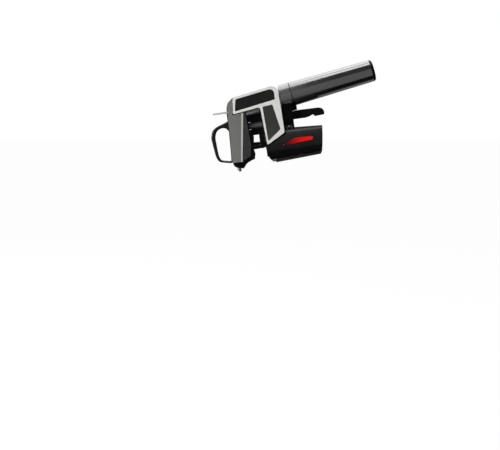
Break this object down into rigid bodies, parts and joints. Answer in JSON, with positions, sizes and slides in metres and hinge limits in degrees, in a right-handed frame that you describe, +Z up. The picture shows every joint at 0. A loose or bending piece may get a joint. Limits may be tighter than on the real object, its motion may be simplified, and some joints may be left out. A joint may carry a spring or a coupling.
{
  "type": "wine preservation dispenser",
  "caption": "Hand-held wine dispenser that clamps on a bottle neck: sliding body with needle, finger loop, spout, trigger and screw-on gas capsule cup",
  "frame": {"origin": "centre of the seat of the bottle's lip, on the needle's axis", "axes": "+X along the needle into the bottle, +Z up across it toward the capsule cup, front side faces -Y"},
  "size_m": [0.2073, 0.0368, 0.1117],
  "materials": {
    "black_plastic": "fine matt moulded black plastic",
    "grey_metal": "satin metallic grey",
    "dark_metal": "polished dark gunmetal",
    "bright_metal": "satin bright",
    "inlay_black": "dull soft-touch black",
    "panel_grey": "dull dark grey",
    "satin_black": "satin black",
    "red_gloss": "gloss red",
    "steel": "fine brushed",
    "spring_steel": "drawn wire",
    "brass": "turned",
    "rubber": "matt black rubber",
    "pale_plastic": "natural low-friction plastic"
  },
  "bodies": {
    "clamp": {"clamp_frame": "black_plastic", "needle_guide": "pale_plastic", "neck_seat": "rubber", "guide_rail_front": "steel", "guide_rail_rear": "steel", "rail_pin_front_1": "steel", "rail_pin_front_2": "steel", "rail_pin_rear_1": "steel", "rail_pin_rear_2": "steel", "hinge_pin_front": "steel", "hinge_pin_rear": "steel", "clamp_spring_front": "spring_steel", "clamp_spring_rear": "spring_steel"},
    "arm_front": {"clamp_arm_front": "satin_black", "arm_accent_front": "red_gloss", "grip_pad_front": "rubber"},
    "arm_rear": {"clamp_arm_rear": "satin_black", "arm_accent_rear": "red_gloss", "grip_pad_rear": "rubber"},
    "body": {"bezel_front": "bright_metal", "bezel_rear": "bright_metal", "capsule_seal": "rubber", "column_cover_front": "grey_metal", "column_cover_rear": "grey_metal", "cup_seal": "rubber", "finger_loop": "black_plastic", "gas_tube": "dark_metal", "grip_inlay_front": "inlay_black", "grip_inlay_rear": "inlay_black", "housing_front": "black_plastic", "housing_rear": "black_plastic", "housing_screw_1": "steel", "housing_screw_2": "steel", "housing_screw_3": "steel", "housing_screw_4": "steel", "needle": "steel", "needle_hub": "black_plastic", "needle_seal": "rubber", "nose_cap": "black_plastic", "piercing_pin": "steel", "regulator_collar": "dark_metal", "regulator_spring": "spring_steel", "side_panel_front": "panel_grey", "side_panel_rear": "panel_grey", "spout_tube": "steel", "trigger_bracket": "black_plastic", "trigger_pin": "steel", "valve_body": "brass", "valve_seal": "rubber", "valve_spring": "spring_steel"},
    "trigger": {"trigger": "black_plastic"},
    "valve_stem": {"valve_stem": "steel"},
    "piston": {"regulator_piston": "brass"},
    "capsule": {"gas_capsule": "steel"},
    "cup": {"capsule_cup": "dark_metal", "cup_end_cap": "black_plastic"}
  },
  "joints": [
    {"name": "needle_travel", "type": "slide", "parent": "clamp", "child": "body", "axis": [-1, 0, 0], "range_m": [0, 0.058]},
    {"name": "arm_front_open", "type": "hinge", "parent": "clamp", "child": "arm_front", "pos_m": [0.0229, -0.0106, 0.0174], "axis": [-1, 0, 0], "range_deg": [0, 25], "stiffness_Nm_per_rad": 0.06, "springref_deg": -17.19},
    {"name": "arm_rear_open", "type": "hinge", "parent": "clamp", "child": "arm_rear", "pos_m": [0.0229, 0.0106, 0.0174], "axis": [1, 0, 0], "range_deg": [0, 25], "stiffness_Nm_per_rad": 0.06, "springref_deg": -17.19},
    {"name": "trigger_pull", "type": "hinge", "parent": "body", "child": "trigger", "pos_m": [0.0219, 0, 0.0289], "axis": [0, -1, 0], "range_deg": [0, 9], "stiffness_Nm_per_rad": 0.3, "springref_deg": -8.59},
    {"name": "valve_open", "type": "slide", "parent": "body", "child": "valve_stem", "axis": [-1, 0, 0], "range_m": [0, 0.0012], "deforming": ["valve_spring"]},
    {"name": "piston_stroke", "type": "slide", "parent": "body", "child": "piston", "axis": [-0.9893, 0, -0.1461], "range_m": [0, 0.0005], "stiffness_N_per_m": 1500, "springref_m": -0.002, "deforming": ["regulator_spring"]},
    {"name": "capsule_feed", "type": "slide", "parent": "body", "child": "capsule", "axis": [0.9893, 0, 0.1461], "range_m": [0, 0.0061]},
    {"name": "cup_turn", "type": "hinge", "parent": "capsule", "child": "cup", "pos_m": [0.03054, 0, 0.05552], "axis": [0.9893, 0, 0.1461], "range_deg": [0, 1440]}
  ],
  "couplings": [
    {"joint": "valve_open", "follows": "trigger_pull", "m_per_rad": 0.0075},
    {"joint": "capsule_feed", "follows": "cup_turn", "m_per_rad": 0.00023873}
  ]
}
